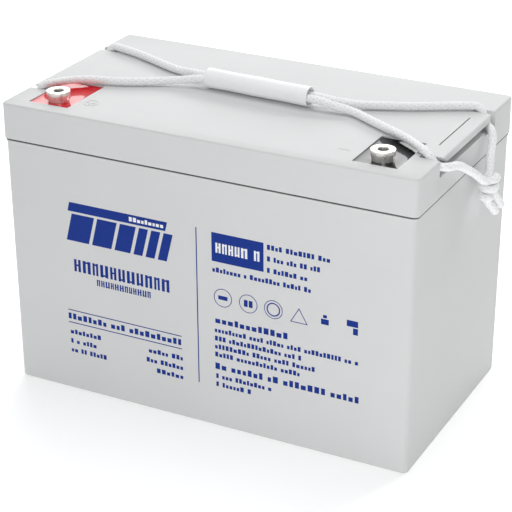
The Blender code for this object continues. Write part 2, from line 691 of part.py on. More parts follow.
def make_plates(cell, positive):
    """Plates of one polarity, with their lugs, strap, weld horn and, in an end cell, its post."""
    kind = "positive" if positive else "negative"
    name = f"{kind}_plates_{cell + 1}"
    thickness = POSITIVE_THICKNESS if positive else NEGATIVE_THICKNESS
    middle = cell_middle(cell)
    strap_y = strap_side(cell, positive) * STRAP_SETBACK
    places = [middle + x for x in plate_places(positive)]
    strap_top = STRAP_FOOT + STRAP_THICKNESS
    half_y = INSIDE_WIDTH / 2 - PLATE_MARGIN
    foot = FLOOR + PLATE_FOOT
    low_y = strap_y - STRAP_WIDTH / 2
    high_y = strap_y + STRAP_WIDTH / 2
    strap_ends = (places[0] - thickness / 2, places[-1] + thickness / 2)
    strap = [((strap_ends[0], low_y, STRAP_FOOT), (strap_ends[1], high_y, strap_top))]
    look = positive_paste() if positive else negative_paste()
    group = add_piece(name, boxes_mesh(name, strap), look)
    lug_half = thickness / 2 - 0.0002
    plates = []
    lugs = []
    for x in places:
        plates.append(((x - thickness / 2, -half_y, foot), (x + thickness / 2, half_y, PLATE_TOP)))
        lug_low = (x - lug_half, strap_y - LUG_WIDTH / 2, PLATE_TOP - 0.002)
        lugs.append((lug_low, (x + lug_half, strap_y + LUG_WIDTH / 2, STRAP_FOOT + 0.002)))
    combine(group, add_cutter(name + "_lugs", boxes_mesh(name + "_lugs", lugs)), "UNION")
    combine(group, add_cutter(name + "_sheets", boxes_mesh(name + "_sheets", plates)), "UNION")
    last = 0 if positive else CELL_COUNT - 1
    if cell == last:
        centre = [TERMINAL_PLACES[0 if positive else 1]]
        post = rods_mesh(name + "_post", centre, SHANK_RADIUS, strap_top - 0.002, POST_TOP)
        combine(group, add_cutter(name + "_post", post), "UNION")
        return
    toward = -1 if positive else 1
    wall = middle + toward * (CELL_LENGTH / 2 - GAP)
    horn_x = sorted((wall, wall - toward * HORN_THICKNESS))
    bridge_x = sorted((wall - toward * 0.0005, strap_ends[0] if positive else strap_ends[1]))
    overlap = 0.002
    if positive:
        bridge_x[1] += overlap
    else:
        bridge_x[0] -= overlap
    inset = 0.0006
    horn_low = (horn_x[0], low_y + inset, STRAP_FOOT + inset)
    horn = [(horn_low, (horn_x[1], high_y - inset, strap_top + HORN_RISE))]
    combine(group, add_cutter(name + "_horn", boxes_mesh(name + "_horn", horn)), "UNION")
    bridge_low = (bridge_x[0], low_y + 2 * inset, STRAP_FOOT + 2 * inset)
    bridge = [(bridge_low, (bridge_x[1], high_y - 2 * inset, strap_top - inset))]
    combine(group, add_cutter(name + "_bridge", boxes_mesh(name + "_bridge", bridge)), "UNION")


def make_separator(cell):
    """One sheet folded to and fro, with a plate between each leaf and the next."""
    name = f"separator_{cell + 1}"
    leaves = 2 * POSITIVE_PLATES
    reach = INSIDE_WIDTH / 2 - SEPARATOR_MARGIN
    low = FLOOR + PLATE_FOOT - SEPARATOR_RISE
    high = PLATE_TOP + SEPARATOR_RISE
    middle = cell_middle(cell)
    shift = (POSITIVE_THICKNESS - NEGATIVE_THICKNESS) / 4
    line = []
    for leaf in range(leaves):
        turn = -1 if leaf % 2 == 0 else 1
        x = middle + (leaf - (leaves - 1) / 2) * PLATE_PITCH + turn * shift
        line += [(x, turn * reach), (x, -turn * reach)]
    bm = bmesh.new()
    verts = [bm.verts.new((x, y, low)) for x, y in line]
    fold = [bm.edges.new(pair) for pair in zip(verts, verts[1:])]
    raised = bmesh.ops.extrude_edge_only(bm, edges=fold)["geom"]
    top = [v for v in raised if isinstance(v, bmesh.types.BMVert)]
    bmesh.ops.translate(bm, verts=top, vec=(0, 0, high - low))
    sheet = add_piece(name, mesh_from(bm, name), separator_sheet())
    solid = sheet.modifiers.new("thickness", "SOLIDIFY")
    solid.thickness = SEPARATOR_THICKNESS
    solid.offset = 0
    solid.use_even_offset = True


def make_weld(wall):
    """The lead that joins two cells through the hole in their partition."""
    name = f"cell_weld_{wall + 1}"
    half = PARTITION / 2
    mesh = rods_mesh(name, [(0, 0)], WELD_RADIUS, -half, half, "X")
    place = (cell_middle(wall) + CELL_PITCH / 2, strap_side(wall, False) * STRAP_SETBACK, weld_height())
    add_piece(name, mesh, weld_lead(), place)


# Handle

def make_grip(parent):
    half = GRIP_LENGTH / 2
    inner = GRIP_RADIUS - GRIP_WALL
    rim = 0.0004
    profile = [
        (inner, half), (GRIP_RADIUS - rim, half), (GRIP_RADIUS, half - rim),
        (GRIP_RADIUS, rim - half), (GRIP_RADIUS - rim, -half), (inner, -half),
    ]
    grip = turned("grip", profile, grip_plastic(), parent=parent, closed=True)
    grip.rotation_euler = (0, math.pi / 2, GRIP_YAW)


def beyond_grip(line):
    """The points of a line that lie past the grip's ends."""
    along = (line[:, :2] - GRIP_PLACE) @ (math.cos(GRIP_YAW), math.sin(GRIP_YAW))
    return line[np.abs(along) > GRIP_LENGTH / 2 + GAP]


def make_rope(handle, rope_end):
    half = GRIP_LENGTH / 2 - GAP
    for word, side in (("front", -1), ("back", 1)):
        run = np.array([grip_point(-half, side), grip_point(half, side)])
        rope_tube(f"rope_in_grip_{word}", run, handle)
    rope_tube("rope_left", thinned(beyond_grip(smooth_line(LEFT_LOOP))))
    knot = np.array(KNOT_PLACE)
    for word, route in (("front", RIGHT_FRONT), ("back", RIGHT_BACK)):
        line = beyond_grip(smooth_line(route))
        inner = line[:, 0] < ROPE_SPLIT - SPLIT_GAP / 2
        clear = np.linalg.norm(line - knot, axis=1) > KNOT_FACE
        outer = (line[:, 0] > ROPE_SPLIT + SPLIT_GAP / 2) & clear
        rope_tube(f"rope_right_{word}", thinned(line[inner]))
        rope_tube(f"rope_end_{word}", thinned(line[outer]))
    for word, route in (("front", TAIL_FRONT), ("back", TAIL_BACK)):
        line = smooth_line(route)
        clear = np.linalg.norm(line - knot, axis=1) > KNOT_FACE
        rope_tube(f"rope_tail_{word}", thinned(line[clear]), rope_end)
    bm = bmesh.new()
    size = Matrix.Diagonal((*KNOT_HALF, 1))
    bmesh.ops.create_uvsphere(bm, u_segments=KNOT_STEPS, v_segments=KNOT_STEPS // 2, radius=1, matrix=size)
    knot_mesh = mesh_from(bm, "rope_knot")
    knot_mesh.shade_smooth()
    add_piece("rope_knot", knot_mesh, rope_fibre(), parent=rope_end)


def make_battery():
    make_container()
    make_inner_cover()
    make_lid()
    for cell in range(CELL_COUNT):
        make_valve_cap(cell)
        make_plates(cell, True)
        make_plates(cell, False)
        make_separator(cell)
    for wall in range(CELL_COUNT - 1):
        make_weld(wall)
    make_resin("positive_resin", POSITIVE_X, red_resin())
    make_resin("negative_resin", NEGATIVE_X, black_resin())
    for kind, x in (("positive", POSITIVE_X), ("negative", NEGATIVE_X)):
        make_terminal(f"{kind}_terminal", x)
        make_seal(f"{kind}_seal", x)
    handle = add_pivot("handle_lift", (*GRIP_PLACE, GRIP_LIE))
    rope_end = add_pivot("rope_end_rise", KNOT_PLACE)
    make_grip(handle)
    make_rope(handle, rope_end)


clear_scene()
PIECES = collection("deep_cycle_battery")
CUTTERS = collection("cutters")
make_battery()
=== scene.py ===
# Deep cycle battery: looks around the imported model.
# Metres, +Z up. +X runs along the case and the printed face looks along -Y.
import math

import bmesh
import bpy
import numpy as np
from mathutils import Matrix, Vector


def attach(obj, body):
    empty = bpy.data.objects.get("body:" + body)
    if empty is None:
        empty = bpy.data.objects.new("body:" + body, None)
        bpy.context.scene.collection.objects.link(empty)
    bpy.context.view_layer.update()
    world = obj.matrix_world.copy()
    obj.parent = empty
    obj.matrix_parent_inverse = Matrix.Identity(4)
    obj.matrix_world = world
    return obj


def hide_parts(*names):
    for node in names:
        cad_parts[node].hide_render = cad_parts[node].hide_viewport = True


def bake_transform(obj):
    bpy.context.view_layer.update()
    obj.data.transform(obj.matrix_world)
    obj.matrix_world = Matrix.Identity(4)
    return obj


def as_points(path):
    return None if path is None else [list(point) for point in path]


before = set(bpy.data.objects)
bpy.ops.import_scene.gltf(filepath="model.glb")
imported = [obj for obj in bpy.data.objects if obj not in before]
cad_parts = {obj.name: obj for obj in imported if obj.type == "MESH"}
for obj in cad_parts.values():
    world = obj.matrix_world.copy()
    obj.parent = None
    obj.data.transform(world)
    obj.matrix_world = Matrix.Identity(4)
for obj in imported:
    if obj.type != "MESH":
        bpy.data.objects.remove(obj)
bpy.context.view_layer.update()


# Camera

camera = {
    "target": (-0.001889, 0.0, 0.092383),
    "azimuth": 27.235,
    "elevation": 25.153,
    "roll": -0.204,
    "distance": 1.2331,
    "lens": 121.97,
}


def makeCamera(wish):
    # stands on a sphere round the target and looks at its middle
    turn = math.radians(wish["azimuth"])
    lift = math.radians(wish["elevation"])
    target = Vector(wish["target"])
    level = math.cos(lift)
    away = Vector((math.sin(turn) * level, -math.cos(turn) * level, math.sin(lift)))
    data = bpy.data.cameras.new("camera")
    data.lens = wish["lens"]
    data.sensor_width = 36
    data.clip_end = 20
    eye = bpy.data.objects.new("camera", data)
    eye.location = target + away * wish["distance"]
    facing = (-away).to_track_quat("-Z", "Y").to_matrix()
    eye.rotation_euler = (facing @ Matrix.Rotation(math.radians(wish["roll"]), 3, "Z")).to_euler()
    bpy.context.scene.collection.objects.link(eye)
    bpy.context.scene.camera = eye


makeCamera(camera)
bpy.context.scene.view_settings.view_transform = "Standard"


# Shader maths

class Wire:
    # a socket that can be added, multiplied and compared; each operator adds a Math node
    def __init__(self, tree, out=None):
        self.tree = tree
        self.out = out

    def node(self, kind, settings=None, inputs=None, pick=0):
        made = self.tree.nodes.new("ShaderNode" + kind)
        for key, value in (settings or {}).items():
            if key == "stops":
                ramp = made.color_ramp
                while len(ramp.elements) < len(value):
                    ramp.elements.new(0.5)
                for element, (place, colour) in zip(ramp.elements, value):
                    element.position = place
                    element.color = (*colour, 1)
            else:
                setattr(made, key, value)
        for key, value in (inputs or {}).items():
            if isinstance(value, Wire):
                self.tree.links.new(value.out, made.inputs[key])
            else:
                made.inputs[key].default_value = value
        return Wire(self.tree, made.outputs[pick])

    def maths(self, operation, *values):
        values = (self, *values)
        return self.node("Math", {"operation": operation}, dict(enumerate(values)))

    def __add__(self, other):
        return self.maths("ADD", other)

    def __sub__(self, other):
        return self.maths("SUBTRACT", other)

    def __mul__(self, other):
        return self.maths("MULTIPLY", other)

    def __rsub__(self, other):
        return self * -1.0 + other

    __radd__ = __add__
    __rmul__ = __mul__

    def ramp(self, low, high):
        # 0 below low and 1 above high, or the other way round when low is the greater
        flip = low > high
        low, high = min(low, high), max(low, high)
        smooth = {"interpolation_type": "SMOOTHSTEP"}
        found = self.node("MapRange", smooth, {0: self, 1: low, 2: high})
        return 1 - found if flip else found

    def blend(self, first, second):
        # mixes two colours by this value
        return self.node("Mix", {"data_type": "RGBA"}, {0: self, 6: first, 7: second}, 2)

    def noise(self, scale, detail=2.0, rough=0.5, stretch=(1, 1, 1)):
        place = self.node("TexCoord", pick=3)
        place = self.node("Mapping", None, {0: place, 3: stretch})
        wishes = {"Vector": place, "Scale": scale, "Detail": detail, "Roughness": rough}
        return self.node("TexNoise", None, wishes)

    def attribute(self, name, pick=2):
        return self.node("Attribute", {"attribute_name": name}, None, pick)


def newFinish(name, **constants):
    # a Principled material; constants go on the shader's own sockets
    made = bpy.data.materials.new(name)
    made.use_nodes = True
    shader = made.node_tree.nodes["Principled BSDF"]
    for key, value in constants.items():
        shader.inputs[key.replace("_", " ")].default_value = value
    return made, Wire(made.node_tree), shader


def feed(made, shader, socket, wire):
    made.node_tree.links.new(wire.out, shader.inputs[socket])


def bumpFrom(made, shader, height, distance, strength=1.0):
    bump = height.node("Bump", None, {"Height": height, "Distance": distance, "Strength": strength})
    feed(made, shader, "Normal", bump)


def shade(colour, factor):
    return (*(c * factor for c in colour), 1)


# Finishes

plastic = {
    "colour": (0.650, 0.652, 0.652), "dark": 0.972, "light": 1.012, "rough": 0.5,
    "grain": 2600, "grainDepth": 0.00002,
}


def mouldedPlastic(name, wish):
    made, net, shader = newFinish(name, IOR=1.5, Specular_IOR_Level=0.3)
    cloud = net.noise(9, 3, 0.55)
    fine = net.noise(wish["grain"], 2, 0.6)
    tone = (cloud * 0.7 + fine * 0.3).ramp(0.3, 0.7)
    dark, light = (shade(wish["colour"], wish[key]) for key in ("dark", "light"))
    feed(made, shader, "Base Color", tone.blend(dark, light))
    rub = net.noise(60, 4, 0.7, (1, 1, 5)).ramp(0.56, 0.72)
    feed(made, shader, "Roughness", fine * 0.08 + wish["rough"] - 0.04 - rub * 0.05)
    bumpFrom(made, shader, fine, wish["grainDepth"])
    return made


# dark is the painted shade of the braid's valleys, light its painted highlight on the crowns
fibre = {"light": (0.97, 0.972, 0.975), "dark": (0.60, 0.61, 0.63), "rough": 0.72}


def ropeFibre(name, wish):
    # painted highlight on the braid's crowns and painted shade in its valleys, broken by random
    # matted patches, with fine filaments along each strand
    made, net, shader = newFinish(name, Sheen_Weight=0.25, Sheen_Roughness=0.5)
    height = net.attribute("weave")
    along = net.attribute("along")
    tone = height.ramp(0.05, 0.8)
    fuzz = net.noise(2400, 2, 0.6)
    matted = net.noise(520, 4, 0.7).ramp(0.40, 0.60)
    mixed = (tone * (0.45 + matted * 0.55) + (1 - matted) * 0.40) * (0.9 + fuzz * 0.2)
    feed(made, shader, "Base Color", mixed.blend((*wish["dark"], 1), (*wish["light"], 1)))
    feed(made, shader, "Roughness", wish["rough"] + fuzz * 0.1)
    hairs = (along * 6.2832).maths("SINE") * 0.5 + fuzz
    bumpFrom(made, shader, hairs, 0.00005, 0.6)
    return made


def glossyResin(name, deep, thin):
    # poured resin: deep colour, a little lighter where it thins out, almost a mirror
    made, net, shader = newFinish(name, IOR=1.5)
    cloud = net.noise(120, 2, 0.5)
    feed(made, shader, "Base Color", cloud.ramp(0.3, 0.7).blend((*deep, 1), (*thin, 1)))
    feed(made, shader, "Roughness", cloud * 0.06 + 0.04)
    bumpFrom(made, shader, net.noise(45, 2, 0.5), 0.00012, 0.5)
    return made


def platedMetal(name):
    # bright plating with upright streaks, and painted shade inside the bore
    made, net, shader = newFinish(name, Metallic=0.62)
    streak = net.noise(260, 3, 0.7, (1, 1, 0.12))
    dull = net.noise(500, 3, 0.6)
    shadow = net.attribute("bore")
    tone = (streak * 0.75 + dull * 0.25).ramp(0.34, 0.56)
    light = tone.blend((0.66, 0.64, 0.58, 1), (0.97, 0.95, 0.91, 1))
    feed(made, shader, "Base Color", shadow.blend(light, (0.40, 0.39, 0.37, 1)))
    feed(made, shader, "Roughness", dull * 0.2 + 0.2)
    bumpFrom(made, shader, streak, 0.00005, 0.6)
    return made


def mattFinish(name, first, second, scale, rough, depth, metallic=0.0, shine=0.5):
    made, net, shader = newFinish(name, Metallic=metallic, Specular_IOR_Level=shine)
    grain = net.noise(scale, 3, 0.6)
    feed(made, shader, "Base Color", grain.ramp(0.3, 0.7).blend((*first, 1), (*second, 1)))
    feed(made, shader, "Roughness", grain * 0.15 + rough - 0.07)
    bumpFrom(made, shader, grain, depth)
    return made


print("camera and finishes set")


# Mesh tools

def newPiece(name, points, faces, finish, smooth=True):
    mesh = bpy.data.meshes.new(name)
    mesh.from_pydata(points.tolist(), [], faces)
    mesh.update()
    piece = bpy.data.objects.new(name, mesh)
    bpy.context.scene.collection.objects.link(piece)
    mesh.materials.append(finish)
    if smooth:
        mesh.shade_smooth()
    return piece


def gridFaces(rows, columns, closed=True):
    # quads between neighbours of a rows by columns grid, whose columns may run round
    last = columns if closed else columns - 1
    i, j = np.meshgrid(np.arange(rows - 1), np.arange(last), indexing="ij")
    k = (j + 1) % columns
    row, after = i * columns, (i + 1) * columns
    quads = np.stack([row + j, row + k, after + k, after + j], axis=-1)
    return quads.reshape(-1, 4).tolist()


def setValues(mesh, name, values):
    layer = mesh.attributes.new(name, "FLOAT", "POINT")
    layer.data.foreach_set("value", np.ascontiguousarray(values, np.float32).ravel())


def turnedSurface(profile, steps):
    # a profile of (radius, height) rows carried round the Z axis; radius 0 ends are poles
    profile = np.array(profile, float)
    angle = np.linspace(0, 2 * np.pi, steps, endpoint=False)
    ring = np.stack([np.cos(angle), np.sin(angle)], axis=-1)
    return np.concatenate(
        [profile[:, None, :1] * ring[None], np.repeat(profile[:, None, 1:], steps, axis=1)], axis=-1
    )


def roundedPath(corners, radius, steps):
    # a profile whose inner corners each become a quadratic curve between two cuts:
    # (1 - t)^2 a + 2 t (1 - t) corner + t^2 b
    corners = np.array(corners, float)
    made = [corners[:1]]
    t = np.linspace(0, 1, steps + 1)[:, None]
    for before, corner, after in zip(corners, corners[1:], corners[2:]):
        cutIn = min(radius, np.linalg.norm(corner - before) * 0.45)
        cutOut = min(radius, np.linalg.norm(after - corner) * 0.45)
        a = corner + (before - corner) / np.linalg.norm(before - corner) * cutIn
        b = corner + (after - corner) / np.linalg.norm(after - corner) * cutOut
        made.append((1 - t) ** 2 * a + 2 * t * (1 - t) * corner + t ** 2 * b)
    made.append(corners[-1:])
    return np.concatenate(made)


def cleanMesh(mesh, distance=1e-6):
    bm = bmesh.new()
    bm.from_mesh(mesh)
    bmesh.ops.remove_doubles(bm, verts=bm.verts, dist=distance)
    bmesh.ops.dissolve_degenerate(bm, edges=bm.edges, dist=distance)
    bmesh.ops.recalc_face_normals(bm, faces=bm.faces)
    bm.to_mesh(mesh)
    bm.free()


def finerCopy(node, name, finish, bevel, limit=30):
    # the node's own shape, merged, with its sharp edges taken off by a fine bevel
    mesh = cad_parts[node].data.copy()
    mesh.name = name
    bm = bmesh.new()
    bm.from_mesh(mesh)
    bmesh.ops.remove_doubles(bm, verts=bm.verts, dist=2e-6)
    bmesh.ops.dissolve_limit(bm, angle_limit=math.radians(0.5), verts=bm.verts, edges=bm.edges)
    bm.to_mesh(mesh)
    bm.free()
    mesh.materials.clear()
    mesh.materials.append(finish)
    piece = bpy.data.objects.new(name, mesh)
    bpy.context.scene.collection.objects.link(piece)
    edge = piece.modifiers.new("edges", "BEVEL")
    edge.width = bevel
    edge.segments = 2
    edge.limit_method = "ANGLE"
    edge.angle_limit = math.radians(limit)
    mesh.shade_smooth()
    mesh.set_sharp_from_angle(angle=math.radians(limit))
    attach(piece, "case")
    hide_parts(node)
    return piece


# Rope: a braid carried along the strands' routes

caseHeight = 0.211
rope = {
    "diameter": 0.0057,
    "gap": 0.0003,
    "gripRadius": 0.0069,
    "gripPlace": (-0.0013, 0.0039),
    "gripYaw": math.radians(-2.8),
    "knot": (0.1613, 0.0205, 0.1702),
    "split": 0.1505,
    "carriers": 6,          # strands that run each way round; an even number
    "lead": 0.030,          # length in which a carrier goes once round
    "around": 48,
    "step": 0.00045,
    "relief": 0.16,         # depth of the braid's valleys, as a part of the radius
    "sway": 0.03,           # slow changes of the radius along the rope, likewise
    "lump": 0.016,          # finer unevenness round and along it, likewise
    "frayReach": 0.003,     # length over which a flared end widens
    "dome": 0.56,           # height of the rounded ends, as a part of the radius
}
lie = caseHeight + rope["diameter"] / 2 + rope["gap"]
gripLie = caseHeight + rope["gripRadius"] + rope["gap"]


def inGrip(along, side):
    # a point of the front (-1) or back (1) strand in the grip
    across = side * (rope["diameter"] + rope["gap"]) / 2
    yaw = rope["gripYaw"]
    x = rope["gripPlace"][0] + along * math.cos(yaw) - across * math.sin(yaw)
    y = rope["gripPlace"][1] + along * math.sin(yaw) + across * math.cos(yaw)
    return (x, y, gripLie)


rightFront = [
    inGrip(0, -1), inGrip(0.020, -1), inGrip(0.040, -1), (0.0490, -0.0014, 0.2176),
    (0.0592, -0.0016, 0.2161), (0.0670, -0.0008, 0.2148), (0.0760, -0.0034, lie),
    (0.0861, -0.0093, lie), (0.0971, -0.0157, lie), (0.1069, -0.0213, lie),
    (0.1155, -0.0263, lie), (0.1241, -0.0318, lie), (0.1320, -0.0380, lie),
    (0.1383, -0.0431, lie), (0.1407, -0.0448, 0.2139), (0.1428, -0.0458, 0.2130),
    (0.1446, -0.0462, 0.2113), (0.1462, -0.0463, 0.2091), (0.1480, -0.0462, 0.2072),
    (0.1502, -0.0460, 0.2060), (0.1527, -0.0453, 0.2055), (0.1552, -0.0434, 0.2052),
    (0.1571, -0.0400, 0.2048), (0.1579, -0.0355, 0.2038), (0.1581, -0.0290, 0.2013),
    (0.1580, -0.0215, 0.1975), (0.1580, -0.0135, 0.1930), (0.1584, -0.0040, 0.1875),
    (0.1592, 0.0050, 0.1813), (0.1603, 0.0120, 0.1764), rope["knot"],
]
rightBack = [
    inGrip(0, 1), inGrip(0.020, 1), inGrip(0.040, 1), (0.0485, 0.0048, 0.2177),
    (0.0565, 0.0058, 0.2169), (0.0668, 0.0098, 0.2152), (0.0745, 0.0143, lie),
    (0.0840, 0.0184, lie), (0.0948, 0.0228, lie), (0.1053, 0.0276, lie), (0.1156, 0.0332, lie),
    (0.1254, 0.0388, lie), (0.1325, 0.0425, lie), (0.1385, 0.0451, lie),
    (0.1407, 0.0460, 0.2139), (0.1427, 0.0463, 0.2130), (0.1445, 0.0462, 0.2113),
    (0.1460, 0.0457, 0.2086), (0.1475, 0.0448, 0.2058), (0.1494, 0.0430, 0.2041),
    (0.1514, 0.0408, 0.2034), (0.1536, 0.0382, 0.2031), (0.1556, 0.0358, 0.2022),
    (0.1572, 0.0336, 0.2003), (0.1580, 0.0318, 0.1974), (0.1583, 0.0301, 0.1934),
    (0.1586, 0.0278, 0.1880), (0.1596, 0.0247, 0.1805), rope["knot"],
]
leftFront = [
    inGrip(0, -1), inGrip(-0.020, -1), inGrip(-0.040, -1), (-0.0490, 0.0014, 0.2174),
    (-0.0570, -0.0006, 0.2161), (-0.0682, -0.0040, 0.2147), (-0.0826, -0.0112, lie),
    (-0.0973, -0.0182, lie), (-0.1120, -0.0228, lie), (-0.1240, -0.0272, lie),
    (-0.1314, -0.0330, lie), (-0.1360, -0.0390, lie), (-0.1388, -0.0430, lie),
    (-0.1410, -0.0452, 0.2138), (-0.1430, -0.0462, 0.2128), (-0.1449, -0.0463, 0.2110),
]
leftBack = [
    inGrip(0, 1), inGrip(-0.020, 1), inGrip(-0.040, 1), (-0.0505, 0.0112, 0.2174),
    (-0.0606, 0.0164, 0.2156), (-0.0718, 0.0203, lie), (-0.0830, 0.0240, lie),
    (-0.0967, 0.0300, lie), (-0.1107, 0.0362, lie), (-0.1238, 0.0410, lie),
    (-0.1327, 0.0436, lie), (-0.1386, 0.0453, lie), (-0.1410, 0.0461, 0.2138),
    (-0.1430, 0.0463, 0.2128), (-0.1449, 0.0463, 0.2110),
]
leftBight = [
    (-0.1466, 0.0462, 0.2086), (-0.1484, 0.0461, 0.2066), (-0.1506, 0.0457, 0.2052),
    (-0.1531, 0.0445, 0.2044), (-0.1557, 0.0420, 0.2036), (-0.1575, 0.0380, 0.2024),
    (-0.1584, 0.0325, 0.2006), (-0.1587, 0.0240, 0.1979), (-0.1587, 0.0120, 0.1953),
]
leftLoop = (
    leftFront + [(x, -y, z) for x, y, z in leftBight] + [(-0.1587, 0, 0.1944)]
    + leftBight[::-1] + leftBack[::-1]
)
tailFront = [(0.1618, 0.0180, 0.1600), (0.1637, 0.0206, 0.1555), (0.1653, 0.0246, 0.1506)]
tailBack = [(0.1641, 0.0250, 0.1614), (0.1656, 0.0280, 0.1572), (0.1668, 0.0312, 0.1530)]


def smoothLine(route, step):
    # points a step apart on the natural cubic that runs through a route
    route = np.array(route, float)
    knots = np.concatenate([[0], np.cumsum(np.linalg.norm(np.diff(route, axis=0), axis=1))])
    gaps = np.diff(knots)
    slopes = np.diff(route, axis=0) / gaps[:, None]
    count = len(route)
    system = np.eye(count)
    target = np.zeros((count, 3))
    inner = np.arange(1, count - 1)
    system[inner, inner - 1] = gaps[:-1]
    system[inner, inner] = 2 * (gaps[:-1] + gaps[1:])
    system[inner, inner + 1] = gaps[1:]
    target[inner] = 6 * np.diff(slopes, axis=0)
    bends = np.linalg.solve(system, target)
    at = np.linspace(0, knots[-1], int(knots[-1] / step) + 1)
    i = np.clip(np.searchsorted(knots, at, side="right") - 1, 0, count - 2)
    late = ((at - knots[i]) / gaps[i])[:, None]
    early = 1 - late
    pull = (early ** 3 - early) * bends[i] + (late ** 3 - late) * bends[i + 1]
    return early * route[i] + late * route[i + 1] + pull * gaps[i][:, None] ** 2 / 6


def runFrames(line):
    # tangent, side and rise at each point, carried along the line with the least twist
    tangent = np.gradient(line, axis=0)
    tangent /= np.linalg.norm(tangent, axis=1)[:, None]
    side = np.zeros_like(line)
    start = np.cross(tangent[0], (0.2, 0.3, 1.0))
    side[0] = start / np.linalg.norm(start)
    for i in range(1, len(line)):
        moved = side[i - 1] - tangent[i] * (side[i - 1] @ tangent[i])
        side[i] = moved / np.linalg.norm(moved)
    return tangent, side, np.cross(tangent, side)


def braidHeight(turns, along, carriers, lead):
    # two families of strands cross; each goes over the next one and under the one after it.
    # Across a strand its height is half an ellipse, and along it a cosine lifts and sinks it.
    a = carriers * (turns + along / lead)
    b = carriers * (turns - along / lead)

    def crown(x):
        return np.sqrt(np.clip(1 - (2 * (x % 1) - 1) ** 2, 0, 1))

    liftA = 0.5 + 0.5 * np.cos(np.pi * (b - 0.5)) * np.where(np.floor(a) % 2 == 0, 1, -1)
    liftB = 0.5 - 0.5 * np.cos(np.pi * (a - 0.5)) * np.where(np.floor(b) % 2 == 0, 1, -1)
    return np.maximum(crown(a) * (0.45 + 0.55 * liftA), crown(b) * (0.45 + 0.55 * liftB))


def ropeSurface(name, line, finish, start=0.0, flare=(0.0, 0.0), thick=1.0, seed=0):
    # a tube along the line whose radius follows the braid, closed by domes at both ends
    around = rope["around"]
    tangent, side, rise = runFrames(line)
    steps = np.concatenate([[0], np.cumsum(np.linalg.norm(np.diff(line, axis=0), axis=1))])
    along = (steps + start)[:, None]
    turns = np.linspace(0, 1, around, endpoint=False)[None]
    weave = braidHeight(turns, along, rope["carriers"], rope["lead"])
    random = np.random.default_rng(seed)
    waves = random.uniform(60, 260, 5)[:, None]
    sway = np.sin(steps[None] * waves + random.uniform(0, 6.28, (5, 1))).mean(axis=0)[:, None]
    full = rope["diameter"] / 2 * thick
    reach = rope["frayReach"]
    fray = flare[0] * np.exp(-steps / reach) + flare[1] * np.exp(-(steps[-1] - steps) / reach)
    lumps = np.zeros_like(weave)
    lumpWaves = random.uniform(500, 2600, 5)
    lumpPhases = random.uniform(0, 6.28, 5)
    for turn, wave, phase in zip((1, 2, -2, 3, -3), lumpWaves, lumpPhases):
        lumps += rope["lump"] * np.sin(turns * 2 * np.pi * turn + along * wave + phase)
    body = np.minimum(1 - rope["relief"] * (1 - weave) + rope["sway"] * sway + lumps, 0.99)
    radius = full * (body + fray[:, None] * (1 + 8 * lumps))
    angle = turns * 2 * np.pi
    out = np.cos(angle)[..., None] * side[:, None] + np.sin(angle)[..., None] * rise[:, None]
    points = line[:, None] + radius[..., None] * out
    ends = []
    for i, way in ((0, -1), (-1, 1)):
        depth = np.array([0.45, 0.8, 0.97])
        width = np.sqrt(1 - depth ** 2)
        ringSet = line[i] + radius[i][None, :, None] * out[i][None] * width[:, None, None]
        ends.append(ringSet + way * tangent[i] * (full * 0.55 * depth)[:, None, None])
    points = np.concatenate([ends[0][::-1], points, ends[1]])
    rings = len(points)
    dome = rope["dome"]
    middle = np.stack([line[0] - tangent[0] * full * dome, line[-1] + tangent[-1] * full * dome])
    faces = gridFaces(rings, around)
    j = np.arange(around)
    k = (j + 1) % around
    low = np.stack([np.full(around, rings * around), k, j], axis=-1)
    base = (rings - 1) * around
    high = np.stack([np.full(around, rings * around + 1), base + j, base + k], axis=-1)
    points = np.concatenate([points.reshape(-1, 3), middle])
    piece = newPiece(name, points, faces + low.tolist() + high.tolist(), finish)
    # the weave height is also the mask by which the rope's finish paints shade into the braid's
    # valleys and highlight onto its crowns
    edge = np.pad(weave, ((3, 3), (0, 0)), mode="edge")
    setValues(piece.data, "weave", np.concatenate([edge.ravel(), [0.3, 0.3]]))
    lines = np.repeat(5 * rope["carriers"] * turns, rings, axis=0)
    setValues(piece.data, "along", np.concatenate([lines.ravel(), [0, 0]]))
    cleanMesh(piece.data, 1e-7)
    return piece


def lineLength(line):
    return float(np.linalg.norm(np.diff(line, axis=0), axis=1).sum())


ropeFinish = ropeFibre("ropeFibre", fibre)


def makeRope():
    fine = rope["step"]
    loop = smoothLine(leftLoop, fine)
    leftRope = ropeSurface("ropeLeft", loop, ropeFinish, seed=1)
    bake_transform(leftRope)
    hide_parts("rope_left", "rope_in_grip_front", "rope_in_grip_back")
    declareCord(leftRope, loop)
    knot = np.array(rope["knot"])
    strands = (("Front", rightFront, tailFront, 2), ("Back", rightBack, tailBack, 3))
    for word, route, tail, seed in strands:
        whole = smoothLine(route + tail, fine)
        cut = int(np.argmax(whole[:, 0] > rope["split"]))
        top, end = whole[:cut + 1], whole[cut:]
        lower = word.lower()
        topRope = ropeSurface("ropeRight" + word, top, ropeFinish, seed=seed)
        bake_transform(topRope)
        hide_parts("rope_right_" + lower)
        declareCord(topRope, top)
        endRope = ropeSurface(
            "ropeEnd" + word, end, ropeFinish, start=lineLength(top), flare=(0, 0.05), seed=seed + 4
        )
        tuple(end[0])
        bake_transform(endRope)
        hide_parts("rope_end_" + lower, "rope_tail_" + lower)
        yield endRope, end


def declareCord(piece, line, pieces=()):
    tuple(line[0])
    lineLength(line)
    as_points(line[::4].tolist() + [line[-1].tolist()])


knotWish = {
    "rise": 0.0068, "radius": 0.0047, "turns": 2.4, "turned": 0.55, "thick": 0.96,
    "tilt": 0.0022, "wide": 1.12, "wobble": 0.0014,
}


